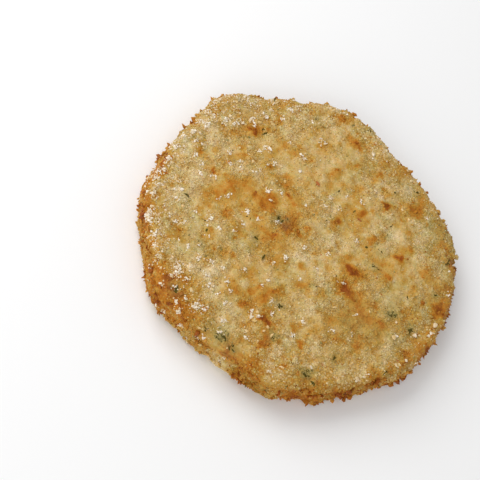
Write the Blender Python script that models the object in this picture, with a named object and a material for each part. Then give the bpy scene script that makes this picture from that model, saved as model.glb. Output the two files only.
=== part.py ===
"""Breaded crab cake: one flat, round patty in a fine, crisp crumb coat.

Metres, +Z up. The origin is on the surface that the cake rests on, under the middle of the cake, and X runs
along its longer axis. The patty is a ball of even faces laid out over the cake's section and pushed about by its
crumb coat. It is then thinned to the faces that the coat's crags need, and the largest crumbs are fused on.
"""

import bisect
import math
import random

import bmesh
import bpy
from mathutils import Matrix, Vector, noise
from mathutils.bvhtree import BVHTree

# The plain patty
LENGTH = 0.0868
WIDTH = 0.0828
THICKNESS = 0.0102
CROWN = 0.0007  # how much higher the middle is than the shoulder
RIM_DEPTH = 0.0032  # how far the rounded rim reaches in from the outline
RIM_SQUARENESS = 0.72  # 1 is a plain ellipse, less is squarer
WAIST_DEPTH = 0.0006  # the groove between the rim's upper and lower lips
WAIST_HEIGHT = 0.0013
GRID_CELLS = 80  # along each edge of the cube that the ball of even faces starts from
COAT_TRIANGLES = 7000  # what the patty is thinned to

# Where the hand-formed outline stands out from its oval or falls short: bearing and half width in degrees, height
LOBES = (
    (30, 12, 0.0005),
    (44, 5, 0.0008),
    (66, 7, -0.0008),
    (81, 6, -0.0014),
    (104, 9, 0.0011),
    (122, 6, -0.0011),
    (152, 10, 0.0017),
    (187, 11, -0.0016),
    (222, 9, -0.0005),
    (243, 8, 0.0011),
    (270, 8, -0.0004),
    (293, 5, 0.0006),
    (309, 4, 0.0010),
    (329, 10, -0.0011),
    (347, 4, 0.0006),
)

# Unevenness of the coat: the size of its forms, and how far they move the surface
SWELL_SIZE, SWELL_HEIGHT = 0.015, 0.0004
CRUMB_SIZE, CRUMB_HEIGHT = 0.0034, 0.0013
CRUMB_LEVEL = 0.5  # the distance from a crumb's middle, in crumb sizes, at which the coat is as high as the patty
CRAG_SIZE, CRAG_HEIGHT = 0.0060, 0.0009  # the crags run along the rim alone
CRAG_OCTAVES = 2
FOOT_RADIUS = 0.016  # the part of the underside that is pressed quite flat
FOOT_EDGE = 0.006  # the width over which the hollows of the underside begin
UNDERSIDE_RELIEF = 0.6  # the depth of its hollows, as a share of those on top
UNDERSIDE_SLOPE = -0.9  # a surface whose normal's Z is below this belongs to the underside

# Crumbs that stand out far enough to be solid
RIM_CRUMBS = 76
RIM_CRUMB_SIZE = (0.0014, 0.0030)
RIM_CRUMB_LEVELS = (0.12, 0.95)  # how high on the rim they sit, as a share of the thickness
RIM_CRUMB_STRAY = 0.4  # how far one strays along the rim from its even place, as a share of their spacing
FACE_CRUMBS = 30
FACE_CRUMB_SIZE = (0.0014, 0.0024)
FACE_CRUMB_REACH = 0.038  # the furthest from the middle
CRUMB_SIDES = (1.0, 0.85, 0.6)  # a crumb's three sides, as shares of its size
CORNER_KNOCK = (0.72, 1.15)  # how far a crumb's corners are from its middle, as shares of a ball's
SUNK = 0.08  # how deep a crumb's centre lies under the surface, as a share of its size
FLOOR_GAP = 0.0003  # what crumbs on the rim keep from the surface the cake rests on
SEED = 7

# The largest flakes on the rim: bearing in degrees, height as a share of the thickness, and their sizes along the
# rim, outwards and upwards
FLAKES = (
    (4, 0.45, (0.0026, 0.0030, 0.0018)),
    (38, 0.62, (0.0040, 0.0030, 0.0016)),
    (55, 0.60, (0.0028, 0.0032, 0.0016)),
    (73, 0.72, (0.0020, 0.0030, 0.0014)),
    (141, 0.72, (0.0040, 0.0044, 0.0026)),
    (146, 0.66, (0.0028, 0.0034, 0.0020)),
    (243, 0.30, (0.0030, 0.0030, 0.0018)),
    (346, 0.50, (0.0050, 0.0034, 0.0036)),
)
FLAKE_SUNK = 0.12  # how far a flake's centre lies inside the rim, as a share of its outward size
FLAKE_TILT = 0.4  # the furthest that a flake is turned out of level, in radians
CREASE_ANGLE = math.radians(35)  # edges sharper than this are shaded as creases


def clear_scene():
    for old in list(bpy.data.objects):
        bpy.data.objects.remove(old)


def outline_radius(bearing):
    """How far the outline is from the middle at this bearing, in radians: an oval with its lobes."""
    oval = math.hypot(LENGTH / 2 * math.cos(bearing), WIDTH / 2 * math.sin(bearing))
    for at, half_width, height in LOBES:
        apart = (math.degrees(bearing) - at + 180) % 360 - 180
        oval += height * math.exp(-((apart / half_width) ** 2))
    return oval


def section_points(mean_radius):
    """The cake's half section as (radius, height), from the middle of the top out, round the rim and back under."""
    flat = mean_radius - RIM_DEPTH
    flat_steps, rim_steps = 24, 48
    middle = THICKNESS / 2
    points = []
    for step in range(flat_steps):
        share = step / flat_steps
        points.append((flat * share, THICKNESS + CROWN * (1 - share * share)))
    for step in range(rim_steps + 1):
        turn = math.pi * (0.5 - step / rim_steps)
        out = math.cos(turn) ** RIM_SQUARENESS if abs(turn) < math.pi / 2 else 0.0
        up = math.copysign(abs(math.sin(turn)) ** RIM_SQUARENESS, turn)
        waist = WAIST_DEPTH * math.exp(-((middle * up / WAIST_HEIGHT) ** 2))
        points.append((flat + RIM_DEPTH * out - waist, middle + middle * up))
    for step in range(flat_steps):
        points.append((flat * (1 - (step + 1) / flat_steps), 0.0))
    return points


def area_shares(points):
    """The share of the turned section's area that lies before each of its points."""
    areas = [0.0]
    for (r0, z0), (r1, z1) in zip(points, points[1:]):
        areas.append(areas[-1] + math.hypot(r1 - r0, z1 - z0) * (r0 + r1))
    return [area / areas[-1] for area in areas]


def point_at(share, points, shares):
    """The section's (radius, height) where this share of the area has passed."""
    after = min(max(bisect.bisect_left(shares, share), 1), len(points) - 1)
    (r0, z0), (r1, z1) = points[after - 1], points[after]
    along = (share - shares[after - 1]) / (shares[after] - shares[after - 1])
    return r0 + (r1 - r0) * along, z0 + (z1 - z0) * along


def even_ball():
    """A ball of nearly equal quads: a cube cut into a grid, with every point drawn to the same distance."""
    ball = bmesh.new()
    bmesh.ops.create_cube(ball, size=2)
    bmesh.ops.subdivide_edges(ball, edges=ball.edges, cuts=GRID_CELLS - 1, use_grid_fill=True)
    for vert in ball.verts:
        vert.co = Vector([math.tan(side * math.pi / 4) for side in vert.co]).normalized()
    return ball


def shape_patty(ball):
    """Lays the ball's points over the cake, so that each face of the cake gets about the same area."""
    mean_radius = (LENGTH + WIDTH) / 4
    points = section_points(mean_radius)
    shares = area_shares(points)
    for vert in ball.verts:
        radius, height = point_at((1 - vert.co.z) / 2, points, shares)
        bearing = math.atan2(vert.co.y, vert.co.x)
        radius *= outline_radius(bearing) / mean_radius
        vert.co = (radius * math.cos(bearing), radius * math.sin(bearing), height)


def coat_height(place, on_rim):
    """How far the coat moves a point of the surface. on_rim is 0 on a face and 1 on the rim."""
    swell = SWELL_HEIGHT * noise.noise(place / SWELL_SIZE)
    nearest = noise.voronoi(place / CRUMB_SIZE)[0][0]
    crumb = CRUMB_HEIGHT * (CRUMB_LEVEL - nearest)
    crag = CRAG_HEIGHT * (noise.turbulence(place / CRAG_SIZE, CRAG_OCTAVES, True) - 0.5)
    return swell + crumb + on_rim * crag


def roughen(patty):
    """Moves each point by the coat's unevenness, and presses the underside flat on its foot."""
    patty.normal_update()
    moves = [(vert, vert.normal.copy()) for vert in patty.verts]
    for vert, normal in moves:
        height = coat_height(vert.co, 1 - abs(normal.z))
        if normal.z < UNDERSIDE_SLOPE:
            past_foot = (math.hypot(vert.co.x, vert.co.y) - FOOT_RADIUS) / FOOT_EDGE
            height = min(0, height) * UNDERSIDE_RELIEF * min(max(past_foot, 0), 1)
        vert.co += normal * height
        vert.co.z = max(vert.co.z, 0)


def object_from(shape, name, collection):
    """Makes an object of this bmesh, which is used up."""
    mesh = bpy.data.meshes.new(name)
    shape.to_mesh(mesh)
    shape.free()
    made = bpy.data.objects.new(name, mesh)
    collection.objects.link(made)
    return made


def crumb_shape(rng, sizes, turn):
    """An angular crumb of twenty faces: an icosphere with its corners knocked about."""
    crumb = bmesh.new()
    bmesh.ops.create_icosphere(crumb, subdivisions=1, radius=0.5)
    for vert in crumb.verts:
        vert.co *= rng.uniform(*CORNER_KNOCK)
    bmesh.ops.scale(crumb, vec=Vector(sizes), verts=crumb.verts)
    bmesh.ops.rotate(crumb, matrix=turn, verts=crumb.verts)
    return crumb


def any_turn(rng):
    axis = Vector([rng.gauss(0, 1) for _ in range(3)])
    return Matrix.Rotation(rng.uniform(0, math.tau), 3, axis)


def stick_on(crumb, place, normal, depth, collection):
    """Puts a crumb where its centre is this deep under the surface, clear of what the cake rests on."""
    bmesh.ops.translate(crumb, vec=place - normal * depth, verts=crumb.verts)
    lowest = min(vert.co.z for vert in crumb.verts)
    if lowest < FLOOR_GAP:
        bmesh.ops.translate(crumb, vec=(0, 0, FLOOR_GAP - lowest), verts=crumb.verts)
    object_from(crumb, "crumb", collection)


def rim_place(tree, bearing, height):
    """The point and normal of the surface at this bearing and height, looking in from outside."""
    outwards = Vector((math.cos(bearing), math.sin(bearing), 0))
    start = outwards * LENGTH + Vector((0, 0, height))
    place, normal, _, _ = tree.ray_cast(start, -outwards)
    return place, normal


def add_crumb(rng, size, place, normal, collection):
    crumb = crumb_shape(rng, [size * share for share in CRUMB_SIDES], any_turn(rng))
    stick_on(crumb, place, normal, size * SUNK, collection)


def add_rim_crumbs(rng, tree, collection):
    for index in range(RIM_CRUMBS):
        bearing = math.tau * (index + rng.uniform(-RIM_CRUMB_STRAY, RIM_CRUMB_STRAY)) / RIM_CRUMBS
        height = THICKNESS * rng.uniform(*RIM_CRUMB_LEVELS)
        place, normal = rim_place(tree, bearing, height)
        add_crumb(rng, rng.uniform(*RIM_CRUMB_SIZE), place, normal, collection)


def add_face_crumbs(rng, tree, collection):
    for _ in range(FACE_CRUMBS):
        distance = FACE_CRUMB_REACH * math.sqrt(rng.random())
        bearing = rng.uniform(0, math.tau)
        above = Vector((distance * math.cos(bearing), distance * math.sin(bearing), LENGTH))
        place, normal, _, _ = tree.ray_cast(above, Vector((0, 0, -1)))
        add_crumb(rng, rng.uniform(*FACE_CRUMB_SIZE), place, normal, collection)


def add_flakes(rng, tree, collection):
    """The large flakes: the long side lies along the rim, and part of each is sunk in it."""
    for degrees, level, sizes in FLAKES:
        bearing = math.radians(degrees)
        place, _ = rim_place(tree, bearing, THICKNESS * level)
        outwards = Vector((math.cos(bearing), math.sin(bearing), 0))
        tilt = Matrix.Rotation(rng.uniform(-FLAKE_TILT, FLAKE_TILT), 3, "X")
        turn = Matrix.Rotation(bearing - math.pi / 2, 3, "Z") @ tilt
        flake = crumb_shape(rng, sizes, turn)
        stick_on(flake, place, outwards, sizes[1] * FLAKE_SUNK, collection)


def bake_modifiers(made):
    """Gives the object the mesh that its modifiers make, and removes them."""
    bpy.context.view_layer.update()
    baked = bpy.data.meshes.new_from_object(made.evaluated_get(bpy.context.evaluated_depsgraph_get()))
    made.modifiers.clear()
    made.data = baked


def thin_out(patty):
    """Drops the faces that the coat's form can spare, and presses back what that pushed below the foot."""
    patty.data.calc_loop_triangles()
    thin = patty.modifiers.new("thin", "DECIMATE")
    thin.ratio = COAT_TRIANGLES / len(patty.data.loop_triangles)
    bake_modifiers(patty)
    for vert in patty.data.vertices:
        in_foot = vert.co.z < THICKNESS / 2 and math.hypot(vert.co.x, vert.co.y) < FOOT_RADIUS + FOOT_EDGE / 2
        vert.co.z = 0 if in_foot else max(vert.co.z, 0)


def fuse(patty, crumbs):
    """Joins every crumb to the patty, so that the cake is one solid, and removes the loose crumbs."""
    join = patty.modifiers.new("crumbs", "BOOLEAN")
    join.operation = "UNION"
    join.operand_type = "COLLECTION"
    join.collection = crumbs
    bake_modifiers(patty)
    for crumb in list(crumbs.objects):
        bpy.data.objects.remove(crumb)
    bpy.data.collections.remove(crumbs)


def centre_on_origin(cake):
    """Moves the mesh so that the middle of its box is over the origin and its lowest point is at zero."""
    corners = [Vector(corner) for corner in cake.bound_box]
    low = Vector(map(min, zip(*corners)))
    high = Vector(map(max, zip(*corners)))
    cake.data.transform(Matrix.Translation((-(low.x + high.x) / 2, -(low.y + high.y) / 2, -low.z)))


def golden_crumb_material():
    material = bpy.data.materials.new("golden_crumb")
    material.use_nodes = True
    shader = material.node_tree.nodes["Principled BSDF"]
    shader.inputs["Base Color"].default_value = (0.48, 0.28, 0.08, 1)
    shader.inputs["Roughness"].default_value = 0.75
    shader.inputs["Metallic"].default_value = 0
    return material


def main():
    clear_scene()
    rng = random.Random(SEED)
    collection = bpy.data.collections.new("breaded_crab_cake")
    crumbs = bpy.data.collections.new("crumbs")
    for made in (collection, crumbs):
        bpy.context.scene.collection.children.link(made)

    patty = even_ball()
    shape_patty(patty)
    roughen(patty)
    tree = BVHTree.FromBMesh(patty)
    cake = object_from(patty, "crab_cake", collection)
    thin_out(cake)

    add_rim_crumbs(rng, tree, crumbs)
    add_face_crumbs(rng, tree, crumbs)
    add_flakes(rng, tree, crumbs)
    fuse(cake, crumbs)
    centre_on_origin(cake)

    cake.data.materials.clear()
    cake.data.materials.append(golden_crumb_material())
    cake.data.shade_smooth()
    cake.data.set_sharp_from_angle(angle=CREASE_ANGLE)


main()
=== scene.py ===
"""Looks of the breaded crab cake: its crisp crust, its crumbs, herbs and pepper, and the studio round it.

Everything is in metres, in the frame of the part, apart from the lists of places, which are in mm. X runs
along the cake's longer axis and +Z is up through its thickness. Each piece is one closed mesh, or many
small ones joined, that rides on the part's one body.
"""

import math

import bmesh
import bpy
import numpy as np
from bpy.props import FloatProperty, FloatVectorProperty, IntProperty, PointerProperty
from mathutils import Matrix, Vector, noise
from mathutils.kdtree import KDTree


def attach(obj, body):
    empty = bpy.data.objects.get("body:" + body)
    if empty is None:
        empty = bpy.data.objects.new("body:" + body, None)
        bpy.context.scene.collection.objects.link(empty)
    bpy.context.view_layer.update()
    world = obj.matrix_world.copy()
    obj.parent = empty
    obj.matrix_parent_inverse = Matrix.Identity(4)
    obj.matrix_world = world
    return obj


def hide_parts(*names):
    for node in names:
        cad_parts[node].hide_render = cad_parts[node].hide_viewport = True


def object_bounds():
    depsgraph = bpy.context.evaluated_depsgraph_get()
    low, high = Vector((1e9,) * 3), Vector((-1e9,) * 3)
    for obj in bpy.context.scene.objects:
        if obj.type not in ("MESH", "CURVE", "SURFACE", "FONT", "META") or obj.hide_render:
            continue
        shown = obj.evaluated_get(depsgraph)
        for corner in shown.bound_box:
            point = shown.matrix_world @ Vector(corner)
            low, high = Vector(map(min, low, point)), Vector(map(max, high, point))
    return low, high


bl_info = {
    "name": "Breaded crab cake",
    "version": (1, 0, 0),
    "blender": (4, 5, 0),
    "location": "3D View > Sidebar > Crab cake",
    "description": "Dresses the crab cake with its crust, crumbs, herbs and pepper, and lights it",
    "category": "Object",
}

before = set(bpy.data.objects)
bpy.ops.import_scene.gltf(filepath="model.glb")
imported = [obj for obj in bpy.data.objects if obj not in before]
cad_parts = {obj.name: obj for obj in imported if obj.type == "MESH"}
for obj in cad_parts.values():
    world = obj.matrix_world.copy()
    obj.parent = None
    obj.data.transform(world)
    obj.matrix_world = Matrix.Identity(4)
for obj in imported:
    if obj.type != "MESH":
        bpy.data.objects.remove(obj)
SOLID_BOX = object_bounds()
NODE = "crab_cake"
BODY = "root"
TOP = SOLID_BOX[1].z
PHOTO_SIDE = 480  # pixels
MM = 0.001
FIELDS = ("browning", "herb", "rough")  # what the crust tells the small things on it


def tone(red, green, blue):
    """A colour as a shader takes it, from the 0 to 255 values of a colour picker."""
    shares = [value / 255 for value in (red, green, blue)]
    return [s / 12.92 if s <= 0.04045 else ((s + 0.055) / 1.055) ** 2.4 for s in shares]


# Where the frying has browned the coat most: X, Y and radius in mm, and strength
AMBER_SPOTS = (
    (14, 0, 1.5, 0.50), (16, -6, 2.2, 0.34), (12, 23, 1.5, 0.48), (19, 28, 2.6, 0.28),
    (8, 16, 1.7, 0.34), (4, 9, 1.2, 0.36), (-2, -2, 1.3, 0.36), (-6, -2, 2.4, 0.22),
    (-28, 15, 1.4, 0.50), (-27, 21, 2.0, 0.24), (-29, -3, 1.2, 0.48), (-24, -2, 1.7, 0.28),
    (-35, 0, 1.2, 0.30), (-13, 2, 2.0, 0.26), (-14, -12, 1.8, 0.22), (-5, 32, 2.0, 0.28),
    (-12, 25, 1.6, 0.22), (-16, 17, 1.5, 0.22), (-4, 20, 1.9, 0.22), (5, 34, 2.3, 0.30),
    (23, 5, 1.0, 0.46), (22, 12, 1.5, 0.38), (24, -4, 1.7, 0.28), (14, 11, 1.5, 0.20),
    (11, -24, 1.6, 0.26), (22, -19, 2.0, 0.24), (25, -14, 1.8, 0.24), (4, -27, 1.9, 0.34),
    (8, -32, 2.2, 0.44), (-3, -28, 1.5, 0.34), (3, -18, 1.6, 0.26), (25, -33, 1.8, 0.40),
    (32, -26, 2.0, 0.34), (37, -16, 1.8, 0.36), (38, 6, 1.9, 0.26),
)
# Broad patches of the coat: X, Y and radius in mm, and how much darker they are, or below 0 how much paler
PATCHES = (
    (2, -10, 5, -0.32), (-15, -28, 5, -0.24), (-37, -1, 5, -0.28), (8, 0, 4, -0.26),
    (-34, -12, 5, -0.30), (23, 17, 4, -0.17), (13, -30, 4, -0.34), (28, -20, 4, -0.20),
    (-13, 19, 4, -0.13), (-4, 16, 3, -0.12), (9, -18, 4, -0.17), (4, -17, 3, 0.10), (7, 30, 4, -0.22),
    (1, -35, 4, -0.16), (-26, -28, 4, -0.18), (15, 15, 4, -0.18), (-9, -36, 3, -0.20),
    (-23, -18, 4, -0.20), (2, 10, 3, -0.14), (12, -8, 3, -0.12), (4, -11, 3, -0.12), (-26, 5, 4, -0.14),
    (-7, -10, 4, 0.28), (23, -12, 5, 0.22), (6, -28, 4, 0.26), (-17, 1, 5, 0.24), (-24, -5, 4, 0.27),
    (21, 7, 4, 0.24), (29, -8, 4, 0.16), (8, 13, 3, 0.22), (-9, -41, 5, 0.32), (-20, -40, 5, 0.18),
    (4, -41, 4, 0.64), (-30, -35, 6, 0.34), (13, 24, 4, 0.20), (-25, 12, 4, 0.14), (35, 12, 4, 0.18),
    (-7, 7, 4, 0.20), (-21, -11, 4, 0.18), (-16, -5, 4, 0.15), (-9, 26, 4, 0.12), (-15, -38, 4, 0.20),
    (-26, -27, 3, -0.12), (-14, -27, 4, -0.15), (-21, 2, 3, -0.12), (22, -13, 3, 0.10),
    (-28, 8, 3, 0.12), (-15, 8, 3, -0.08), (-15, 3, 3, 0.12), (-19, -37, 4, 0.46), (-24, 21, 4, -0.20),
    (2, -35, 3, -0.20), (-1, 26, 3, -0.12), (-15, -24, 3, -0.10), (30, 13, 3, -0.10),
    (-3, -21, 4, -0.10), (23, -25, 3, -0.13), (15, -22, 3, -0.14), (-23, -21, 3, 0.12),
    (-10, -22, 3, 0.10), (-16, -11, 3, -0.15), (-7, -32, 2, 0.12), (-15, 14, 3, 0.10),
    (18, -5, 4, 0.10), (36, -2, 4, 0.14), (-2, -7, 4, 0.12), (13, 0, 4, 0.12), (-31, 18, 4, 0.10),
    (-34, 10, 4, -0.22), (-26, -10, 4, -0.20), (-34, -12, 3, -0.10), (8, 23, 3, -0.14),
    (0, 29, 3, -0.12), (0, 39, 7, -0.12), (17, 35, 5, -0.06), (-12, 37, 5, -0.26), (-25, 27, 4, -0.20),
    (25, 28, 5, -0.07), (-38, -21, 4, 0.24), (-40, -12, 4, 0.14), (-24, -37, 4, 0.14),
    (7, 37, 4, -0.10), (-22, -34, 4, 0.08), (29, -30, 4, -0.08), (36, -20, 5, -0.12),
    (38, -12, 4, -0.06), (36, -10, 4, -0.06), (-23, -24, 3, 0.14), (-12, -17, 2, 0.10), (9, 8, 3, 0.12),
    (9, 14, 3, 0.10), (10, 29, 3, -0.13), (32, 3, 3, -0.11), (18, -31, 3, 0.14), (7, -27, 3, 0.10),
)
# The same round the rim: bearing from +X in degrees, height and radius in mm, and how much darker
RIM_PATCHES = (
    (272, 5, 4.5, -0.46), (252, 5, 5, -0.20), (240, 5, 5, -0.20), (344, 3, 3, 0.34), (300, 3, 4, 0.16),
    (318, 3, 4, 0.18), (285, 3, 4, 0.12), (330, 4, 4, 0.10), (20, 5, 5, 0.08), (205, 5, 5, 0.10),
)
# Broad patches of painted shade that darken the coat towards a grey olive, most of them on the +X side, away
# from the key light: X, Y and radius in mm, and how strongly
OLIVE_PATCHES = (
    (23, -12, 6, 0.20), (32, -10, 5, 0.18), (26, 0, 4, 0.14), (27, 27, 5, 0.22), (36, 14, 5, 0.14),
    (12, 33, 4, 0.12), (-30, -16, 3, 0.12), (2, 4, 4, 0.10), (-2, -38, 4, 0.12), (-34, 20, 4, 0.12),
)
# Herb flecks in the coat: X, Y and radius in mm, and how many flakes
HERB_SPOTS = (
    (20, -32, 1.2, 11), (5, -22, 1.0, 6), (-8, -2, 1.2, 9), (16, 33, 1.0, 3), (-2, -39, 1.7, 10),
    (29, -3, 1.3, 8), (35, -3, 1.1, 5), (23, -34, 0.8, 3), (37, -18, 1.0, 4), (19, 5, 1.0, 4),
    (-18, -36, 1.2, 4), (17, 10, 1.0, 4), (2, -39, 1.3, 6), (8, -30, 1.1, 6), (35, 10, 0.9, 3),
    (-5, -40, 1.1, 6), (-10, -11, 0.8, 2), (24, -24, 1.1, 3), (-30, -13, 0.7, 2), (-4, 39, 0.9, 3),
    (33, 21, 1.2, 4), (-17, 31, 0.8, 2), (16, 19, 0.9, 2), (9, -11, 0.8, 2), (-20, -22, 0.8, 2),
)
# Red pepper flecks: X and Y in mm
PEPPER_SPOTS = ((24, 0), (26, -24), (22, -27), (37, -13), (-6, 14), (10, 30))
# Clusters of uncoloured, glassy crumb: X, Y and radius in mm, and how many granules
PALE_CLUSTERS = (
    (-41, 0, 1.3, 18), (-40, 3, 1.3, 17), (-38, 7, 1.5, 17), (-40, 7, 1.2, 14), (-41, -4, 1.3, 13),
    (-39, -11, 1.3, 11), (-40, -8, 1.2, 11), (-35, -2, 1.1, 7), (-31, -6, 0.9, 5), (-27, 2, 1.1, 6),
    (-29, 5, 1.0, 6), (-23, 13, 0.9, 5), (-15, 3, 1.0, 7), (-22, -6, 1.0, 6), (-16, -6, 1.2, 8),
    (-22, -15, 1.3, 7), (-27, -20, 1.1, 6), (-8, -3, 1.1, 7), (-15, -10, 0.9, 5), (-30, 18, 1.1, 7),
    (-21, -31, 1.6, 13), (-18, -26, 1.3, 8), (-20, -33, 1.4, 12), (-12, -30, 1.4, 9), (-6, -31, 1.2, 7),
    (-11, -37, 1.7, 18), (-7, -20, 1.0, 5), (-9, -26, 1.3, 8), (5, -25, 1.0, 5), (2, -28, 0.9, 5),
    (12, -26, 1.0, 5), (12, -38, 1.1, 6), (-14, 18, 0.8, 4), (-1, 10, 1.0, 5), (2, 12, 1.0, 5),
    (11, 8, 0.8, 4), (5, -12, 0.8, 4), (32, -24, 1.1, 5), (3, -35, 1.0, 7), (40, 0, 1.0, 5),
    (37, -4, 0.9, 4), (33, -7, 0.8, 4), (-40, -13, 1.3, 8), (-38, -16, 1.3, 9), (-37, -19, 1.3, 9),
    (-35, -23, 1.3, 11), (-34, -26, 1.4, 15), (-31, -29, 1.3, 12), (-29, -31, 1.3, 12),
    (-26, -33, 1.2, 8), (-12, 5, 0.9, 6), (-1, -10, 1.1, 8), (7, -1, 1.0, 5), (12, -21, 1.0, 6),
    (20, -30, 0.9, 4), (1, -29, 1.1, 6), (-32, -16, 1.0, 5), (-24, 24, 1.0, 6), (-35, 12, 1.2, 9),
    (-3, -38, 1.1, 7), (-28, 22, 1.2, 9), (-32, 14, 1.2, 9), (-24, 28, 1.0, 7), (-13, -42, 1.2, 9),
    (-16, -40, 1.1, 7), (-14, -37, 0.9, 5), (-18, -36, 1.0, 4), (-17, -32, 1.2, 8), (-15, -24, 1.2, 8),
    (-12, -24, 1.0, 5), (-4, -35, 1.2, 7), (-9, -36, 1.2, 8), (-14, -28, 1.2, 8), (-22, -25, 1.0, 5),
)
# Larger chips of pale, glassy crumb: X, Y and length in mm, and dullness
PALE_CHIPS = (
    (40, 3, 2.2, 0.35), (40, -1, 1.1, 0.1), (37, -4, 1.4, 0.2), (31, -4, 1.3, 0.4), (33, -8, 1.9, 0.7),
    (32, -12, 1.4, 0.8), (36, -10, 1.1, 0.6), (37, -14, 1.7, 0.5), (39, -11, 1.2, 0.2),
    (32, -24, 2.1, 0.6), (28, -21, 1.5, 0.8), (23, -30, 1.3, 0.7), (14, -35, 1.4, 0.7),
    (-3, -38, 1.2, 0.4), (-5, -40, 1.0, 0.5), (-31, 15, 1.4, 0.3), (-35, 14, 1.3, 0.5),
    (-13, 1, 1.5, 0.3), (15, 17, 1.6, 0.6), (-36, -22, 1.1, 0.3),
)
# Crags that stand out from the edge: bearing in degrees, height, width and reach in mm, and browning
CRAGS = (
    (73, 9.5, 0.9, 2.0, 0.75), (70, 9.5, 0.5, 1.2, 0.3), (68, 9, 0.5, 1.3, 0.2),
    (64, 9, 0.8, 1.8, 0.85), (55.5, 8.5, 1.6, 2.2, 0.55), (52, 8, 1.7, 1.8, 0.45),
    (50, 7.5, 0.6, 2.4, 0.7), (38.5, 7.5, 2.2, 3.0, 0.3), (33, 7, 1.5, 1.7, 0.5),
    (24, 6, 1.2, 1.3, 0.6), (14, 5, 1.3, 1.3, 0.7), (4.5, 3, 1.1, 2.6, 0.7), (354, 3, 1.2, 1.4, 0.7),
    (349, 3, 1.7, 1.6, 0.9), (345, 3, 2.3, 2.0, 1.05), (342, 2.5, 2.1, 1.8, 1.1),
    (339, 2.5, 1.6, 1.6, 0.95), (334, 2.5, 1.5, 1.4, 0.8), (322, 2, 1.7, 1.7, 0.75),
    (315, 2, 1.2, 1.3, 0.7), (308, 2, 1.5, 1.4, 0.8), (299, 2, 1.3, 1.4, 0.7), (287, 2, 1.2, 1.2, 0.8),
    (279, 2, 1.1, 1.4, 0.8), (264, 4, 1.3, 1.3, 0.3), (267, 4.5, 1.4, 1.2, 0.2),
    (143, 8, 2.2, 1.9, 0.3), (107, 9, 1.0, 1.2, 0.6), (97, 9.5, 0.8, 1.3, 0.8), (126, 9, 1.2, 1.2, 0.5),
    (206, 5, 1.2, 1.2, 0.8), (190, 4, 1.3, 1.3, 0.7),
)
# Where the edge bulges, or below 0 draws in: bearing from +X and width in degrees, and how far in mm
EDGE_CHANGES = (
    (310, 9, -0.8), (290, 9, 0.8), (242, 9, 0.8), (172, 10, -1.4), (139, 11, -1.3), (112, 7, 0.7),
    (80, 7, -0.6), (345, 9, -0.5), (40, 6, 0.2),
)
# A place on the top where the coat is all crumbs: X, Y and radius in mm
CRUMBY_PLACE = (24, -24, 15)
# A place on the rim that has fried smooth: bearing in degrees, height and radius in mm
SMOOTH_PLACE = (272, 5, 6.5)

SPOT_DEPTH = 0.0007  # how far the coat lies under the highest point of the solid
RIM_SHARE = 0.97  # where the coat of the rim lies, in shares of the way to the box's sides
EVEN_LEVEL = 0.36  # how far the coat is browned where nothing changes it
SMALL_SPOTS = 450  # browned spots besides the named ones
SPOT_STRENGTH = 1.25  # how much more the named browned spots count than listed
BURNT_SHARE = 0.02  # of the crumbs
GREEN_SHARE = 0.006  # of the crumbs

# Where each step's random numbers start
SEEDS = {"crust": 11, "crumbs": 23, "fringe": 31, "crags": 29, "granules": 37, "flecks": 41}

# Sizes of the coat's mottling
ZONE_SIZE = 0.0075
BLUSH_SIZE = 0.0018
GRAIN_SIZE = 0.0011
SPECK_SIZE = 0.0008
PORE_SIZE = 0.0007
FINE_SIZE = 0.00036
# Tints that multiply the coat's colour, and how much its finest grain changes red, green and blue
WHITE = (1, 1, 1)
OLIVE = (0.92, 0.98, 0.99)
RUDDY = (1.0, 0.95, 0.94)
GREENISH = (0.93, 0.97, 0.90)
GRAIN_TINT = (0.85, 1.0, 1.3)

# How the light that passes under the surface spreads, in red, green and blue
COAT_GLOW = (1.0, 0.55, 0.2)
GRANULE_GLOW = (1.0, 0.7, 0.5)

# Length, width and thickness of the small things, in shares of their size
CRUMB_SHAPE = (1, 0.85, 0.6)
GRIT_SHAPE = (1, 0.9, 0.75)
FRINGE_SHAPE = (0.7, 0.7, 1.4)
GRANULE_SHAPE = (1.1, 0.85, 0.7)
CHIP_SHAPE = (1.0, 0.75, 0.34)
FLECK_SHAPE = (1.5, 0.55, 0.28)

FLOOR_REACH = 2.0  # metres each way
SENSOR_WIDTH = 36  # mm
PIXELS_PER_METRE = 3877.0  # at the cake's middle
MIDDLE_IN_PICTURE = (301.3, 242.7)  # of the cake, in pixels across and down


def colour_choice(name, description, *values):
    return FloatVectorProperty(name=name, description=description, subtype="COLOR", default=tone(*values))


def length_choice(name, description, millimetres):
    return FloatProperty(name=name, description=description, default=millimetres * MM, unit="LENGTH")


def angle_choice(name, description, degrees):
    return FloatProperty(name=name, description=description, default=math.radians(degrees), subtype="ANGLE")


def power_choice(name, description, watts):
    return FloatProperty(name=name, description=description, default=watts, unit="POWER")


def count_choice(name, description, number):
    return IntProperty(name=name, description=description, default=number)


class CrustSettings(bpy.types.PropertyGroup):
    grain: length_choice("Mesh grain", "Side of the crust's mesh cells", 0.43)
    lump_size: length_choice("Lump size", "Width of the soft lumps of the coat", 1.3)
    lump_height: length_choice("Lump height", "How far the lumps stand out", 0.17)
    pale: colour_choice("Pale", "Coat that the fat has hardly coloured", 223, 199, 153)
    straw: colour_choice("Straw", "Lightly fried coat", 205, 174, 112)
    golden: colour_choice("Golden", "Well fried coat", 192, 147, 64)
    amber: colour_choice("Amber", "Browned coat", 182, 115, 22)
    brown: colour_choice("Brown", "The darkest browned spots", 144, 72, 3)
    # The herb halo colour also colours the painted shade of the olive patches.
    herb_halo_and_shade: colour_choice("Herb halo", "Coat that a herb fleck shows through", 154, 140, 80)
    herb_core: colour_choice("Herb core", "Coat on top of a herb fleck", 84, 76, 26)


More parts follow.
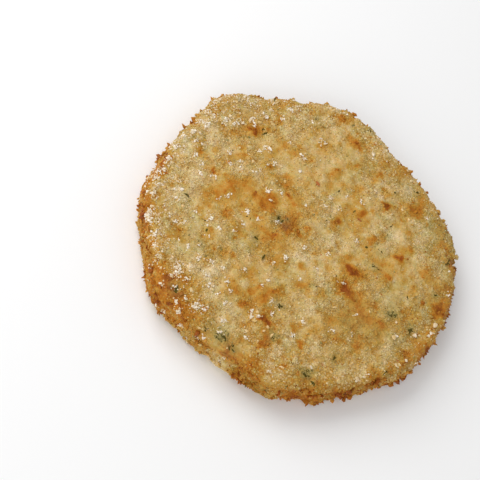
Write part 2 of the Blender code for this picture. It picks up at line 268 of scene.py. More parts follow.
class CrumbSettings(bpy.types.PropertyGroup):
    top_crumbs: count_choice("Top crumbs", "Crumbs over the top", 6200)
    rim_crumbs: count_choice("Rim crumbs", "Crumbs round the rim", 3600)
    underside_crumbs: count_choice("Underside crumbs", "Crumbs over the underside", 4600)
    crumb_size: length_choice("Crumb size", "Middle size of a crumb", 0.95)
    top_grit: count_choice("Top grit", "Fine grains over the top", 24000)
    rim_grit: count_choice("Rim grit", "Fine grains round the rim", 13000)
    underside_grit: count_choice("Underside grit", "Fine grains over the underside", 20000)
    grit_size: length_choice("Grit size", "Middle size of a fine grain", 0.5)
    fringe_crumbs: count_choice("Fringe crumbs", "Browned crumbs along the rim", 1500)
    fringe_size: length_choice("Fringe size", "Middle size of a browned crumb", 0.8)


class GranuleSettings(bpy.types.PropertyGroup):
    clusters: count_choice("Clusters", "Small clusters besides the named ones", 205)
    size: length_choice("Size", "Middle size of a granule", 0.55)
    chips: count_choice("Chips", "Larger chips besides the named ones", 70)
    # The edge granules are painted highlights: pale granules on the crest that stand for its glints.
    edge_glint_granules: count_choice("Edge granules", "Duller ones along the edge", 850)
    colour: colour_choice("Colour", "Uncoloured, glassy crumb", 244, 233, 215)
    dull: colour_choice("Dull colour", "Granule that has taken up some fat", 215, 181, 119)


class FleckSettings(bpy.types.PropertyGroup):
    size: length_choice("Size", "Middle size of a fleck", 0.62)
    herb: colour_choice("Herb", "Dried green herb", 92, 80, 26)
    pepper: colour_choice("Pepper", "Red pepper", 184, 110, 58)
    small_flecks: count_choice("Small flecks", "Single flecks all over", 40)


class StudioSettings(bpy.types.PropertyGroup):
    floor: colour_choice("Floor", "Colour of the floor", 247, 247, 247)
    key: power_choice("Key light", "Power of the main softbox", 1.55)
    fill: power_choice("Fill light", "Power of the front softbox", 2.4)
    sky: FloatProperty(name="Room light", description="Strength of the light from all round", default=0.5)
    lens: FloatProperty(name="Lens", description="Focal length in mm", default=110)
    elevation: angle_choice("Elevation", "How far the camera looks down", 57.5)
    roll: angle_choice("Roll", "Clockwise turn of the cake in the picture", 38.6)


# Shader maths


class Wire:
    """A shader socket that Python's arithmetic can be written with."""

    def __init__(self, graph, socket):
        self.graph = graph
        self.socket = socket

    def maths(self, operation, *values):
        return self.graph.add("ShaderNodeMath", {"operation": operation}, dict(enumerate(values)))

    def __add__(self, other):
        return self.maths("ADD", self, other)

    def __sub__(self, other):
        return self.maths("SUBTRACT", self, other)

    def __mul__(self, other):
        return self.maths("MULTIPLY", self, other)

    __radd__ = __add__

    def clamped(self):
        return self.graph.add("ShaderNodeClamp", {}, {"Value": self})


class Graph:
    """The nodes of one material."""

    def __init__(self, material):
        material.use_nodes = True
        self.tree = material.node_tree
        self.shader = self.tree.nodes["Principled BSDF"]
        self.place = self.add("ShaderNodeTexCoord", {}, {}, "Object")

    def add(self, kind, settings, inputs, output=0):
        """Adds a node, gives it its settings, then its sockets' values or links, and returns an output."""
        node = self.tree.nodes.new(kind)
        for name, value in settings.items():
            if name == "stops":
                set_stops(node.color_ramp, value)
            else:
                setattr(node, name, value)
        for name, value in inputs.items():
            self.feed(node.inputs[name], value)
        return Wire(self, node.outputs[output])

    def feed(self, socket, value):
        if isinstance(value, Wire):
            self.tree.links.new(value.socket, socket)
        else:
            socket.default_value = value

    def set(self, name, value):
        """Sets or links a socket of the surface shader."""
        self.feed(self.shader.inputs[name], value)

    def glow(self, weight, radius, depth):
        """Lets some of the light pass under the surface, this deep."""
        self.set("Subsurface Weight", weight)
        self.set("Subsurface Radius", radius)
        self.set("Subsurface Scale", depth)

    def grains(self, size, detail=2.0, roughness=0.5):
        """Soft noise from 0 to 1 whose forms are this large."""
        values = {"Vector": self.place, "Scale": 1 / size, "Detail": detail, "Roughness": roughness}
        return self.add("ShaderNodeTexNoise", {}, values)

    def cells(self, size):
        """The distance to the nearest of scattered points, in shares of their spacing."""
        return self.add("ShaderNodeTexVoronoi", {}, {"Vector": self.place, "Scale": 1 / size})

    def attribute(self, name):
        return self.add("ShaderNodeAttribute", {"attribute_name": name}, {}, "Fac")

    def ramp(self, value, stops):
        return self.add("ShaderNodeValToRGB", {"stops": stops}, {"Fac": value})

    def mix(self, share, first, second, blend="MIX"):
        settings = {"data_type": "RGBA", "blend_type": blend}
        return self.add("ShaderNodeMix", settings, {0: share, 6: first, 7: second}, 2)

    def vector_maths(self, operation, *values):
        return self.add("ShaderNodeVectorMath", {"operation": operation}, dict(enumerate(values)))

    def bump(self, height, distance):
        return self.add("ShaderNodeBump", {}, {"Height": height, "Distance": distance, "Strength": 1.0})


def set_stops(ramp, stops):
    while len(ramp.elements) > 1:
        ramp.elements.remove(ramp.elements[-1])
    ramp.elements[0].position = stops[0][0]
    ramp.elements[0].color = (*stops[0][1], 1)
    for position, colour in stops[1:]:
        ramp.elements.new(position).color = (*colour, 1)


# The frying


def noise_at(points, size, offset=0.0):
    """Soft noise from about -1 to 1 at each point."""
    return np.array([noise.noise(place) for place in (points / size + offset).tolist()])


def step_up(values, low, high):
    """0 below low, 1 above high, and smooth between."""
    share = np.clip((values - low) / (high - low), 0, 1)
    return share * share * (3 - 2 * share)


def wobbled(points, size, reach):
    """The points, each moved a little, so that round forms come out ragged."""
    return points + np.stack([noise_at(points, size, shift) for shift in (5.0, 9.0, 13.0)], 1) * reach


def spots_at(points, spots, steepness):
    """How strongly spots (place, radius, strength) colour each point. The steeper, the firmer their edge."""
    strongest = np.zeros(len(points))
    for place, radius, strength in spots:
        near = np.abs(points - place).max(axis=1) < radius * 2.5
        far = np.linalg.norm(points[near] - place, axis=1) / radius
        strongest[near] = np.maximum(strongest[near], strength * np.exp(-far ** steepness))
    return strongest


def nearness(points, place, reach):
    """1 at this place, and less with every step away from it."""
    return np.exp(-(np.linalg.norm(points - place, axis=1) / reach) ** 2)


def on_top(x, y):
    """The place on the top, or near it, of a spot that is given in mm."""
    return np.array((x * MM, y * MM, TOP - SPOT_DEPTH))


def on_rim(bearing, height):
    """The place on the rim at this bearing in degrees and this height in mm."""
    turn = math.radians(bearing)
    x = SOLID_BOX[1].x * RIM_SHARE * math.cos(turn)
    y = SOLID_BOX[1].y * RIM_SHARE * math.sin(turn)
    return np.array((x, y, height * MM))


def reach_of(points):
    """How far out on the cake each point is: 0 in its middle and 1 at the edge."""
    return np.hypot(points[:, 0] / SOLID_BOX[1].x, points[:, 1] / SOLID_BOX[1].y)


def rough_at(points):
    """How crumby the coat is: 0 where it has fried smooth and 1 where it is rough, as near the edge."""
    zones = step_up(noise_at(points, 0.0055, 8.8), -0.25, 0.35)
    edge = step_up(reach_of(points), 0.55, 0.95)
    x, y, radius = CRUMBY_PLACE
    crumby = nearness(points, on_top(x, y), radius * MM)
    bearing, height, radius = SMOOTH_PLACE
    smooth = nearness(points, on_rim(bearing, height), radius * MM)
    return np.clip(0.1 + 0.8 * zones + (0.4 + 0.4 * zones) * edge + 0.3 * crumby - 0.7 * smooth, 0, 1)


def edge_moves(points):
    """How far each point of the edge is moved outwards."""
    bearings = np.degrees(np.arctan2(points[:, 1], points[:, 0]))
    moves = np.zeros(len(points))
    for middle, width, outwards in EDGE_CHANGES:
        off = (bearings - middle + 180) % 360 - 180
        moves += outwards * MM * np.exp(-(off / width) ** 2)
    return moves * step_up(reach_of(points), 0.65, 0.95)


def browning_at(points, normals, rng):
    """How far the coat is browned at each point: 0 is pale and 1 the darkest."""
    wide = noise_at(points, 0.017, 3.1)
    patch = noise_at(points, 0.0050, 7.7)
    small = noise_at(points, 0.0021, 1.9)
    # The sides, where the surface faces outwards, are made browner than the top.
    rim = step_up(1 - np.abs(normals[:, 2]), 0.35, 0.95)
    edge = step_up(reach_of(points), 0.8, 0.98)
    level = EVEN_LEVEL + 0.09 * wide + 0.24 * step_up(patch, 0.02, 0.45) - 0.12 * step_up(-patch, 0.05, 0.5)
    level += 0.03 * rough_at(points) + 0.15 * small + 0.18 * rim + 0.08 * edge
    spots = []
    for index in rng.choice(len(points), SMALL_SPOTS, replace=False):
        spots.append((points[index], rng.uniform(0.0005, 0.0014), rng.uniform(0.08, 0.38)))
    for x, y, radius, strength in AMBER_SPOTS:
        spots.append((on_top(x, y), radius * MM, strength * SPOT_STRENGTH))
    ragged = wobbled(points, 0.0017, 0.0012)
    patches = [(on_top(x, y), radius, darker) for x, y, radius, darker in PATCHES]
    patches += [(on_rim(bearing, height), radius, darker) for bearing, height, radius, darker in RIM_PATCHES]
    for place, radius, darker in patches:
        level += darker * nearness(ragged, place, radius * MM)
    return level + spots_at(ragged, spots, 4)


def herb_and_shade_at(points):
    """How far a herb fleck shows through the coat at each point, from 0 to 1, with the painted shade of the
    olive patches added.
    """
    spots, tints = [], []
    for x, y, radius, flakes in HERB_SPOTS:
        spots.append((on_top(x, y), radius * 1.7 * MM, 0.24 + 0.03 * flakes))
    for x, y, radius, share in OLIVE_PATCHES:
        tints.append((on_top(x, y), radius * MM, share))
    return spots_at(wobbled(points, 0.0012, 0.0014), spots, 2) + spots_at(points, tints, 2)


# Meshes


def points_of(mesh):
    flat = np.empty(len(mesh.vertices) * 3)
    mesh.vertices.foreach_get("co", flat)
    return flat.reshape(-1, 3)


def normals_of(mesh):
    flat = np.empty(len(mesh.vertices) * 3)
    mesh.vertices.foreach_get("normal", flat)
    return flat.reshape(-1, 3)


def attribute_of(mesh, name):
    values = np.empty(len(mesh.vertices))
    mesh.attributes[name].data.foreach_get("value", values)
    return values


def give_attribute(mesh, name, values):
    mesh.attributes.new(name, "FLOAT", "POINT").data.foreach_set("value", np.asarray(values, np.float32))


def baked(made):
    """The mesh that an object's modifiers make."""
    bpy.context.view_layer.update()
    return bpy.data.meshes.new_from_object(made.evaluated_get(bpy.context.evaluated_depsgraph_get()))


def place_piece(name, mesh, material, smooth):
    """Makes the piece of the cake with this mesh, which rides on the cake's body."""
    mesh.name = name
    mesh.materials.clear()
    mesh.materials.append(material)
    if smooth:
        mesh.shade_smooth()
    else:
        mesh.shade_flat()
    piece = bpy.data.objects.new(name, mesh)
    bpy.context.scene.collection.objects.link(piece)
    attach(piece, BODY)
    return piece


def remeshed_solid(grain):
    """An even, fine mesh of the cake's solid, with its facets softened."""
    shape = bmesh.new()
    shape.from_mesh(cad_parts[NODE].data)
    bmesh.ops.remove_doubles(shape, verts=shape.verts, dist=1e-7)
    coarse = bpy.data.meshes.new("coarse")
    shape.to_mesh(coarse)
    shape.free()
    holder = bpy.data.objects.new("coarse", coarse)
    bpy.context.scene.collection.objects.link(holder)
    remesh = holder.modifiers.new("even", "REMESH")
    remesh.mode = "VOXEL"
    remesh.voxel_size = grain
    soften = holder.modifiers.new("soften", "SMOOTH")
    soften.factor = 0.5
    soften.iterations = 4
    mesh = baked(holder)
    bpy.data.objects.remove(holder)
    return mesh


def crust_relief(points, size, height):
    """How far the coat's lumps move each point."""
    warped = wobbled(points, size, size * 0.35)
    nearest = np.array([noise.voronoi(place)[0][0] for place in (warped / size).tolist()])
    fine = noise_at(points, size * 0.55, 4.4)
    lumps = noise_at(points, size * 3, 2.2)
    return height * (0.9 - 1.8 * nearest + 0.45 * fine + 0.5 * lumps)


class Surface:
    """The crust's triangles, for scattering small things over them."""

    def __init__(self, mesh):
        mesh.calc_loop_triangles()
        corners = np.empty(len(mesh.loop_triangles) * 3, np.int32)
        mesh.loop_triangles.foreach_get("vertices", corners)
        self.corners = corners.reshape(-1, 3)
        self.points = points_of(mesh)
        self.normals = normals_of(mesh)
        first, second, third = (self.points[self.corners[:, i]] for i in range(3))
        self.areas = np.linalg.norm(np.cross(second - first, third - first), axis=1) / 2
        self.middles = (first + second + third) / 3
        self.facing = self.normals[self.corners].mean(axis=1)
        self.fields = {name: attribute_of(mesh, name) for name in FIELDS}

    def field(self, name):
        """A field's value at each triangle."""
        return self.fields[name][self.corners].mean(axis=1)

    def on(self, triangles, rng):
        """A random place on each of these triangles, with its normal and fields."""
        shares = rng.dirichlet((1, 1, 1), len(triangles))
        corners = self.corners[triangles]
        places = np.einsum("nc,nck->nk", shares, self.points[corners])
        normals = np.einsum("nc,nck->nk", shares, self.normals[corners])
        normals /= np.linalg.norm(normals, axis=1)[:, None]
        fields = {}
        for name, values in self.fields.items():
            fields[name] = np.einsum("nc,nc->n", shares, values[corners])
        return places, normals, fields

    def scattered(self, count, weights, rng):
        """This many triangles at random, more of them where the weights are larger."""
        chances = self.areas * weights
        return rng.choice(len(chances), count, p=chances / chances.sum())

    def tree(self):
        """The triangles' middles, to be searched by place."""
        tree = KDTree(len(self.middles))
        for index, middle in enumerate(self.middles):
            tree.insert(middle, index)
        tree.balance()
        return tree

    def nearest(self, places):
        """The middle and the normal of the triangle nearest to each place."""
        tree = self.tree()
        found = np.array([tree.find(place)[1] for place in places])
        normals = self.facing[found]
        return self.middles[found], normals / np.linalg.norm(normals, axis=1)[:, None]

    def clustered(self, centres, rng):
        """Random triangles round each of the centres, which are given as place, radius and number."""
        tree = self.tree()
        picked = []
        for place, radius, count in centres:
            on_coat = tree.find(place)[0]
            near = [index for _, index, _ in tree.find_range(on_coat, radius)]
            picked.extend(rng.choice(near, count))
        return np.array(picked)


def moulds_from(shape, kinds, low, high, rng):
    """Angular crumbs made by knocking a ball's corners about: the corners of each kind, and their faces."""
    corners = np.array([vert.co for vert in shape.verts])
    faces = np.array([[vert.index for vert in face.verts] for face in shape.faces])
    shape.free()
    return corners * rng.uniform(low, high, (kinds, len(corners), 1)), faces


def crumb_moulds(kinds, low, high, rng):
    """Crumbs of twenty faces."""
    shape = bmesh.new()
    bmesh.ops.create_icosphere(shape, subdivisions=1, radius=0.5)
    return moulds_from(shape, kinds, low, high, rng)


def grit_moulds(kinds, low, high, rng):
    """Grains of eight faces."""
    shape = bmesh.new()
    bmesh.ops.create_uvsphere(shape, u_segments=4, v_segments=2, radius=0.5)
    return moulds_from(shape, kinds, low, high, rng)


def turns_on(normals, tilt, rng):
    """Turns that lay crumbs flat on the surface, give or take the tilt, and at random otherwise."""
    count = len(normals)
    up = normals + rng.normal(0, tilt, (count, 3))
    up /= np.linalg.norm(up, axis=1)[:, None]
    side = np.cross(up, rng.normal(0, 1, (count, 3)))
    side /= np.linalg.norm(side, axis=1)[:, None]
    return np.stack([side, np.cross(up, side), up], axis=2)


def joined_crumbs(name, places, normals, sizes, flatness, sink, tilt, moulds, rng):
    """One mesh of many crumbs, and how many points each has.

    The sink is how deep each centre lies under the surface, in shares of the crumb's size.
    """
    corners, faces = moulds
    count = len(places)
    sides = sizes[:, None] * rng.uniform(0.75, 1.25, (count, 3)) * np.array(flatness)
    shapes = corners[rng.integers(0, len(corners), count)] * sides[:, None, :]
    turned = np.einsum("nij,nkj->nki", turns_on(normals, tilt, rng), shapes)
    centres = places - normals * (sizes * sink)[:, None]
    points = turned + centres[:, None, :]
    low = points[:, :, 2].min(axis=1)
    points[:, :, 2] += np.maximum(-low, 0)[:, None]
    per_crumb = corners.shape[1]
    indices = faces[None] + (np.arange(count) * per_crumb)[:, None, None]
    mesh = bpy.data.meshes.new(name)
    mesh.from_pydata(points.reshape(-1, 3), [], indices.reshape(-1, 3).tolist())
    return mesh, per_crumb


def coloured_crumbs(
        name, surface, triangles, sizes, flatness, sink, tilt, moulds, shift, spread, material, rng):
    """A piece of crumbs, each browned as the coat under it is and with its painted shade, give or take the
    shift and spread.
    """
    places, normals, fields = surface.on(triangles, rng)
    mesh, per_crumb = joined_crumbs(name, places, normals, sizes, flatness, sink, tilt, moulds, rng)
    edge_on_top = step_up(reach_of(places), 0.7, 0.95) * step_up(normals[:, 2], 0.4, 0.8)
    unevenness = spread * (0.8 + 0.9 * edge_on_top)
    burnt = 0.35 * (rng.random(len(places)) < BURNT_SHARE)
    level = fields["browning"] + rng.normal(shift, unevenness) + burnt
    give_attribute(mesh, "browning", np.repeat(level, per_crumb))
    herb = fields["herb"] * rng.lognormal(0, 0.5, len(places))
    herb = np.maximum(herb, 0.6 * (rng.random(len(places)) < GREEN_SHARE))
    give_attribute(mesh, "herb", np.repeat(herb, per_crumb))
    place_piece(name, mesh, material, smooth=False)


# Materials


def coat_colour(graph, crust, level, grain):
    """The coat's colour at this level of browning and painted shade. The grain, from about -1 to 1, alters
    it.
    """
    stops = (
        (0.0, crust.pale), (0.26, crust.straw), (0.5, crust.golden), (0.76, crust.amber), (1.0, crust.brown),
    )
    zones = graph.ramp(graph.grains(ZONE_SIZE, 1.0), ((0.50, WHITE), (0.70, OLIVE)))
    blush = graph.grains(BLUSH_SIZE, 2.0, 0.6)
    tint = graph.ramp(blush, ((0.36, RUDDY), (0.5, WHITE), (0.64, GREENISH)))
    fried = graph.mix(1.0, graph.mix(1.0, graph.ramp(level, stops), zones, "MULTIPLY"), tint, "MULTIPLY")
    # The herb attribute carries the herb flecks and the painted shade of the olive patches, which takes the
    # herb halo colour.
    herb = graph.attribute("herb")
    green = graph.ramp(herb, ((0.4, crust.herb_halo_and_shade), (0.95, crust.herb_core)))
    coat = graph.mix((herb * 1.5).clamped(), fried, green)
    return graph.vector_maths("MULTIPLY", coat, graph.vector_maths("MULTIPLY_ADD", grain, GRAIN_TINT, WHITE))


def crust_material(crust):
    material = bpy.data.materials.new("fried_coat")
    graph = Graph(material)
    grain = graph.grains(GRAIN_SIZE, 3.0, 0.6)
    fine = graph.grains(FINE_SIZE, 2.0, 0.6)
    rough = graph.attribute("rough")
    level = graph.attribute("browning") + (grain - 0.5) * 0.6 + (fine - 0.5) * (0.1 + rough * 0.2)
    graph.set("Base Color", coat_colour(graph, crust, level, (fine - 0.5) * (0.7 + rough * 1.1)))
    graph.set("Roughness", 0.6)
    graph.set("Specular IOR Level", 0.2)
    graph.glow(0.1, COAT_GLOW, 0.0010)
    height = (graph.cells(PORE_SIZE) * -0.7 + grain * 0.8 + fine * 0.7) * (0.35 + rough * 0.75)
    graph.set("Normal", graph.bump(height, 0.0003))
    return material


def crumb_material(crust):
    material = bpy.data.materials.new("fried_crumbs")
    graph = Graph(material)
    fine = graph.grains(FINE_SIZE, 2.0, 0.6)
    level = graph.attribute("browning") + (fine - 0.5) * 0.25
    grain = (fine - 0.5) * 1.1 + (graph.grains(SPECK_SIZE) - 0.5) * 0.6
    graph.set("Base Color", coat_colour(graph, crust, level, grain))
    graph.set("Roughness", 0.5)
    graph.set("Specular IOR Level", 0.22)
    graph.glow(0.12, COAT_GLOW, 0.0010)
    graph.set("Normal", graph.bump(fine, 0.00012))
    return material


def granule_material(colour, dull):
    material = bpy.data.materials.new("pale_granules")
    graph = Graph(material)
    fine = graph.grains(0.0005, 1.0, 0.5)
    share = (graph.attribute("dullness") + (fine - 0.5) * 0.6).clamped()
    graph.set("Base Color", graph.mix(share, (*colour, 1), (*dull, 1)))
    graph.set("Roughness", 0.28)
    graph.glow(0.15, GRANULE_GLOW, 0.0006)
    return material


def fleck_material(name, colour, share):
    """Dried leaf or pepper: its colour, mottled towards this share of it."""
    material = bpy.data.materials.new(name)
    graph = Graph(material)
    mottle = graph.grains(0.0004, 2.0, 0.6)
    dark = [value * share for value in colour]
    graph.set("Base Color", graph.mix(mottle, (*dark, 1), (*colour, 1)))
    graph.set("Roughness", 0.7)
    graph.set("Specular IOR Level", 0.1)
    graph.set("Normal", graph.bump(mottle, 0.0001))
    return material


# Operators


class CRABCAKE_OT_crust(bpy.types.Operator):
    """Makes the fried crust, which stands for the cake's solid"""

    bl_idname = "crabcake.crust"
    bl_label = "Crust"

    def execute(self, context):
        settings = context.scene.crabcake_crust
        mesh = remeshed_solid(settings.grain)
        points = points_of(mesh)
        rough = rough_at(points)
        rise = crust_relief(points, settings.lump_size, settings.lump_height) * (0.4 + 0.7 * rough)
        moved = points + normals_of(mesh) * rise[:, None]
        out = np.maximum(np.hypot(points[:, 0], points[:, 1]), MM)
        moved[:, :2] *= 1 + (edge_moves(points) / out)[:, None]
        moved[:, 2] = np.maximum(moved[:, 2], 0)
        mesh.vertices.foreach_set("co", moved.ravel())
        mesh.update()
        rng = np.random.default_rng(SEEDS["crust"])
        # Paler on the lumps' tops and darker in the hollows between them: painted light on the tops and
        # painted shade in the hollows, added to the browning.
        browning = browning_at(moved, normals_of(mesh), rng) - 0.12 * rise / settings.lump_height
        give_attribute(mesh, "browning", browning)
        # The herb attribute also carries the painted shade of the olive patches.
        give_attribute(mesh, "herb", herb_and_shade_at(moved))
        give_attribute(mesh, "rough", rough)
        piece = place_piece("crust", mesh, crust_material(settings), smooth=True)
        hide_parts(NODE)
        return {"FINISHED"}


class CRABCAKE_OT_crumbs(bpy.types.Operator):
    """Scatters crumbs and fine grit over the top, the rim and the underside"""

    bl_idname = "crabcake.crumbs"
    bl_label = "Fried crumbs"

    def execute(self, context):
        settings = context.scene.crabcake_crumbs
        surface = Surface(bpy.data.objects["crust"].data)
        material = crumb_material(context.scene.crabcake_crust)
        rng = np.random.default_rng(SEEDS["crumbs"])
        crumbs, grit = crumb_moulds(12, 0.68, 1.18, rng), grit_moulds(12, 0.75, 1.25, rng)
        up = surface.facing[:, 2]
        regions = {
            "top": step_up(up, 0.45, 0.75),
            "rim": step_up(1 - np.abs(up), 0.2, 0.5),
            "underside": step_up(-up, 0.45, 0.75),
        }
        rough = 0.12 + surface.field("rough")
        crisp = 0.4 + step_up(0.75 - surface.field("browning"), 0.0, 0.35)
        for region, there in regions.items():
            count = getattr(settings, region + "_crumbs")
            sizes = settings.crumb_size * rng.lognormal(0, 0.3, count)
            triangles = surface.scattered(count, there * rough, rng)
            sink = rng.uniform(0.15, 0.42, count)
            coloured_crumbs(
                region + "_crumbs", surface, triangles, sizes, CRUMB_SHAPE, sink, tilt=0.5, moulds=crumbs,
                shift=-0.06, spread=0.11, material=material, rng=rng)
            count = getattr(settings, region + "_grit")
            sizes = settings.grit_size * rng.lognormal(0, 0.28, count)
            triangles = surface.scattered(count, there * crisp * rough, rng)
            sink = rng.uniform(-0.1, 0.3, count)
            coloured_crumbs(
                region + "_grit", surface, triangles, sizes, GRIT_SHAPE, sink, tilt=0.9, moulds=grit,
                shift=-0.08, spread=0.13, material=material, rng=rng)
        return {"FINISHED"}


class CRABCAKE_OT_fringe(bpy.types.Operator):
    """Stands browned crumbs along the rim, where the fat has fried them most"""

    bl_idname = "crabcake.fringe"
    bl_label = "Browned fringe"

    def execute(self, context):
        settings = context.scene.crabcake_crumbs
        surface = Surface(bpy.data.objects["crust"].data)
        rng = np.random.default_rng(SEEDS["fringe"])
        side = step_up(1 - np.abs(surface.facing[:, 2]), 0.45, 0.8)
        tufts = step_up(noise_at(surface.middles, 0.0030, 4.1), -0.1, 0.35)
        fried = 0.1 + surface.field("rough")
        count = settings.fringe_crumbs
        sizes = settings.fringe_size * rng.lognormal(0, 0.3, count)
        triangles = surface.scattered(count, side * (0.15 + tufts) * fried, rng)
        sink = rng.uniform(-0.3, 0.15, count)
        coloured_crumbs(
            "fringe_crumbs", surface, triangles, sizes, FRINGE_SHAPE, sink, tilt=0.6,
            moulds=crumb_moulds(10, 0.5, 1.35, rng), shift=0.08, spread=0.18,
            material=crumb_material(context.scene.crabcake_crust), rng=rng)
        return {"FINISHED"}


class CRABCAKE_OT_crags(bpy.types.Operator):
    """Sticks the larger crags and splinters on the edge"""

    bl_idname = "crabcake.crags"
    bl_label = "Crags of the edge"

    def execute(self, context):
        surface = Surface(bpy.data.objects["crust"].data)
        rng = np.random.default_rng(SEEDS["crags"])
        bearings, heights, widths, reaches, browning = np.array(CRAGS).T
        targets = np.array([on_rim(*place) for place in zip(bearings, heights)])
        places, _ = surface.nearest(targets)
        outwards = targets * (1, 1, 0) + (0, 0, 0.2 * SOLID_BOX[1].x)
        outwards /= np.linalg.norm(outwards, axis=1)[:, None]
        sides = np.stack([widths, widths * 0.7, reaches], 1)
        mesh, per_crag = joined_crumbs(
            "edge_crags", places, outwards, np.full(len(places), MM), sides, -0.15 * reaches, 0.25,
            crumb_moulds(12, 0.6, 1.3, rng), rng)
        level = np.repeat(browning, per_crag) + rng.normal(0, 0.1, len(mesh.vertices))
        give_attribute(mesh, "browning", level)
        give_attribute(mesh, "herb", np.zeros(len(mesh.vertices)))
        place_piece("edge_crags", mesh, crumb_material(context.scene.crabcake_crust), smooth=False)
        return {"FINISHED"}


class CRABCAKE_OT_granules(bpy.types.Operator):
    """Strews pale, glassy granules in small clusters, most of them towards -X, pale granules on the crest
    that stand for its glints as painted highlights, and larger chips
    """

    bl_idname = "crabcake.granules"
    bl_label = "Pale granules"

    def execute(self, context):
        settings = context.scene.crabcake_granules
        surface = Surface(bpy.data.objects["crust"].data)
        material = granule_material(settings.colour, settings.dull)
        rng = np.random.default_rng(SEEDS["granules"])
        strew_granules(settings, surface, material, rng)
        lay_chips(settings, surface, material, rng)
        return {"FINISHED"}


def strew_granules(settings, surface, material, rng):
    """Clusters with a bright core in a duller ring, and duller granules along the edge, heaped on the crest
    towards -X, that stand for its glints as painted highlights.
    """
    cores, rings = [], []
    for x, y, radius, count in PALE_CLUSTERS:
        cores.append((on_top(x, y), radius * 0.5 * MM, int(count * 1.6)))
        rings.append((on_top(x, y), radius * 1.15 * MM, int(count * 1.1)))
    left = 0.2 + step_up(-surface.middles[:, 0], -0.02, 0.042)
    for index in surface.scattered(settings.clusters, left, rng):
        cores.append((surface.middles[index], rng.uniform(0.0003, 0.0007), rng.integers(1, 11)))
        rings.append((surface.middles[index], rng.uniform(0.0006, 0.0013), rng.integers(1, 8)))
    # Painted highlights: pale granules heaped on the crest, most of all towards -X, where the key light
    # hangs, stand for the glints of the edge.
    crest = step_up(reach_of(surface.middles), 0.8, 0.93) * step_up(surface.facing[:, 2], 0.4, 0.7)
    away = 0.02 + step_up(-surface.middles[:, 0], 0.016, 0.034)
    tufts = 0.1 + step_up(noise_at(surface.middles, 0.0022, 6.6), 0.0, 0.3)
    inner = surface.clustered(cores, rng)
    strewn = surface.scattered(settings.edge_glint_granules, crest * away * tufts, rng)
    outer = np.concatenate([surface.clustered(rings, rng), strewn])
    places, normals, _ = surface.on(np.concatenate([inner, outer]), rng)
    dullness = np.concatenate([rng.beta(1.0, 2.2, len(inner)), rng.beta(2.6, 1.1, len(outer))])
    sizes = settings.size * rng.lognormal(0, 0.2, len(places)) * (1.12 - 0.25 * dullness)
    sink = rng.uniform(-0.42, 0.2, len(places)) * (1 - dullness)
    moulds = crumb_moulds(12, 0.45, 1.3, rng)
    mesh, per_granule = joined_crumbs(
        "pale_granules", places, normals, sizes, GRANULE_SHAPE, sink, 1.0, moulds, rng)
    give_attribute(mesh, "dullness", np.repeat(dullness, per_granule))
    place_piece("pale_granules", mesh, material, smooth=False)


def lay_chips(settings, surface, material, rng):
    """The named chips, and duller ones where the coat is rough."""
    rough = step_up(surface.facing[:, 2], 0.3, 0.6) * surface.field("rough") ** 2
    strewn = surface.scattered(settings.chips, rough, rng)
    named = np.array(PALE_CHIPS)
    targets = np.concatenate([[on_top(x, y) for x, y in named[:, :2]], surface.middles[strewn]])
    places, normals = surface.nearest(targets)
    lengths = np.concatenate([named[:, 2], rng.uniform(0.7, 1.3, len(strewn))]) * MM
    sink = rng.uniform(-0.15, 0.05, len(places))
    mesh, per_chip = joined_crumbs(
        "pale_chips", places, normals, lengths, CHIP_SHAPE, sink, 0.3,
        crumb_moulds(10, 0.5, 1.3, rng), rng)
    dullness = np.concatenate([named[:, 3] + 0.25, rng.uniform(0.85, 1.25, len(strewn))])
    give_attribute(mesh, "dullness", np.repeat(dullness, per_chip))
    place_piece("pale_chips", mesh, material, smooth=False)


class CRABCAKE_OT_flecks(bpy.types.Operator):
    """Lays flakes of dried herb and of red pepper in the coat"""

    bl_idname = "crabcake.flecks"
    bl_label = "Herb and pepper flecks"

    def execute(self, context):
        settings = context.scene.crabcake_flecks
        surface = Surface(bpy.data.objects["crust"].data)
        rng = np.random.default_rng(SEEDS["flecks"])
        herbs = [(on_top(x, y), radius * 0.75 * MM, count) for x, y, radius, count in HERB_SPOTS]
        peppers = [(on_top(x, y), 0.0004, 2) for x, y in PEPPER_SPOTS]
        everywhere = np.ones(len(surface.areas))
        for index in surface.scattered(settings.small_flecks, everywhere, rng):
            herbs.append((surface.middles[index], 0.0005, rng.integers(1, 3)))
        for index in surface.scattered(settings.small_flecks // 4, everywhere, rng):
            peppers.append((surface.middles[index], 0.0004, 1))
        kinds = (
            ("herb_flecks", herbs, fleck_material("dried_herb", settings.herb, 0.55)),
            ("pepper_flecks", peppers, fleck_material("red_pepper", settings.pepper, 0.7)),
        )
        for name, clusters, material in kinds:
            places, normals, _ = surface.on(surface.clustered(clusters, rng), rng)
            sizes = settings.size * rng.lognormal(0, 0.3, len(places))
            sink = rng.uniform(-0.15, 0.05, len(places))
            moulds = crumb_moulds(8, 0.6, 1.25, rng)
            mesh, _ = joined_crumbs(name, places, normals, sizes, FLECK_SHAPE, sink, 0.3, moulds, rng)
            place_piece(name, mesh, material, smooth=False)
        return {"FINISHED"}


class CRABCAKE_OT_studio(bpy.types.Operator):
    """Lays the pale floor, hangs the soft lights and sets up the camera"""

    bl_idname = "crabcake.studio"
    bl_label = "Studio"

    def execute(self, context):
        settings = context.scene.crabcake_studio
        lay_floor(settings)
        hang_lights(settings)
        set_camera(settings)
        return {"FINISHED"}


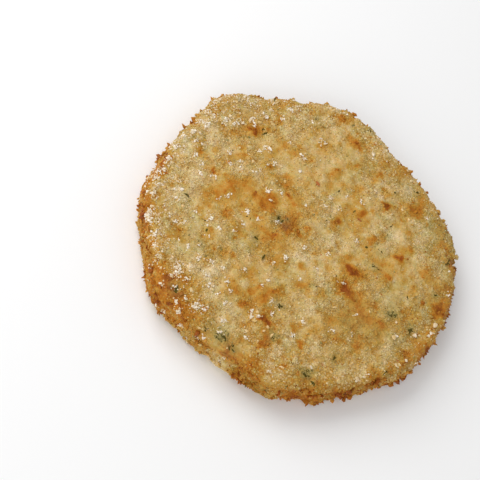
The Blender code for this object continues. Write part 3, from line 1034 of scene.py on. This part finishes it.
def lay_floor(settings):
    shape = bmesh.new()
    bmesh.ops.create_grid(shape, x_segments=1, y_segments=1, size=FLOOR_REACH)
    mesh = bpy.data.meshes.new("floor")
    shape.to_mesh(mesh)
    shape.free()
    material = bpy.data.materials.new("floor")
    graph = Graph(material)
    graph.set("Base Color", (*settings.floor, 1))
    graph.set("Roughness", 0.9)
    graph.set("Specular IOR Level", 0.1)
    mesh.materials.append(material)
    floor = bpy.data.objects.new("floor", mesh)
    bpy.context.scene.collection.objects.link(floor)


def softbox(name, direction, distance, side, power):
    """Hangs a square light in this direction from the cake, facing it."""
    light = bpy.data.lights.new(name, "AREA")
    light.shape = "SQUARE"
    light.size = side
    light.energy = power
    lamp = bpy.data.objects.new(name, light)
    toward = Vector(direction).normalized()
    lamp.location = toward * distance
    lamp.rotation_euler = toward.to_track_quat("Z", "Y").to_euler()
    bpy.context.scene.collection.objects.link(lamp)


def hang_lights(settings):
    softbox("key", (-0.9, 0.2, 0.9), distance=0.5, side=0.4, power=settings.key)
    softbox("fill", (-0.1, -1.0, 0.55), distance=0.8, side=0.6, power=settings.fill)
    world = bpy.data.worlds.new("room")
    world.use_nodes = True
    background = world.node_tree.nodes["Background"]
    background.inputs["Color"].default_value = (1, 1, 1, 1)
    background.inputs["Strength"].default_value = settings.sky
    bpy.context.scene.world = world
    bpy.context.scene.view_settings.view_transform = "Standard"


def set_camera(settings):
    """Looks at the cake so that its outline falls where the picture has it."""
    data = bpy.data.cameras.new("camera")
    data.lens = settings.lens
    data.sensor_width = SENSOR_WIDTH
    camera = bpy.data.objects.new("camera", data)
    back = Vector((0, -math.cos(settings.elevation), math.sin(settings.elevation)))
    distance = settings.lens / SENSOR_WIDTH * PHOTO_SIDE / PIXELS_PER_METRE
    turn = (-back).to_track_quat("-Z", "Y").to_matrix() @ Matrix.Rotation(settings.roll, 3, "Z")
    across, down = (pixels - PHOTO_SIDE / 2 for pixels in MIDDLE_IN_PICTURE)
    aim = Vector((0, 0, TOP / 2)) - turn @ Vector((across, -down, 0)) / PIXELS_PER_METRE
    camera.matrix_world = Matrix.Translation(aim + back * distance) @ turn.to_4x4()
    bpy.context.scene.collection.objects.link(camera)
    bpy.context.scene.camera = camera


class CRABCAKE_PT_panel(bpy.types.Panel):
    """Lists the steps that dress the crab cake"""

    bl_label = "Crab cake"
    bl_idname = "CRABCAKE_PT_panel"
    bl_space_type = "VIEW_3D"
    bl_region_type = "UI"
    bl_category = "Crab cake"

    def draw(self, context):
        for operator in OPERATORS:
            self.layout.operator(operator.bl_idname)


SETTINGS = {
    "crabcake_crust": CrustSettings,
    "crabcake_crumbs": CrumbSettings,
    "crabcake_granules": GranuleSettings,
    "crabcake_flecks": FleckSettings,
    "crabcake_studio": StudioSettings,
}
OPERATORS = (
    CRABCAKE_OT_crust,
    CRABCAKE_OT_crumbs,
    CRABCAKE_OT_fringe,
    CRABCAKE_OT_crags,
    CRABCAKE_OT_granules,
    CRABCAKE_OT_flecks,
    CRABCAKE_OT_studio,
)


def register():
    for name, group in SETTINGS.items():
        bpy.utils.register_class(group)
        setattr(bpy.types.Scene, name, PointerProperty(type=group))
    for operator in OPERATORS:
        bpy.utils.register_class(operator)
    bpy.utils.register_class(CRABCAKE_PT_panel)


def unregister():
    bpy.utils.unregister_class(CRABCAKE_PT_panel)
    for operator in OPERATORS:
        bpy.utils.unregister_class(operator)
    for name, group in SETTINGS.items():
        delattr(bpy.types.Scene, name)
        bpy.utils.unregister_class(group)


def main():
    register()
    bpy.ops.crabcake.crust()
    bpy.ops.crabcake.crumbs()
    bpy.ops.crabcake.fringe()
    bpy.ops.crabcake.crags()
    bpy.ops.crabcake.granules()
    bpy.ops.crabcake.flecks()
    bpy.ops.crabcake.studio()


if __name__ == "__main__":
    main()
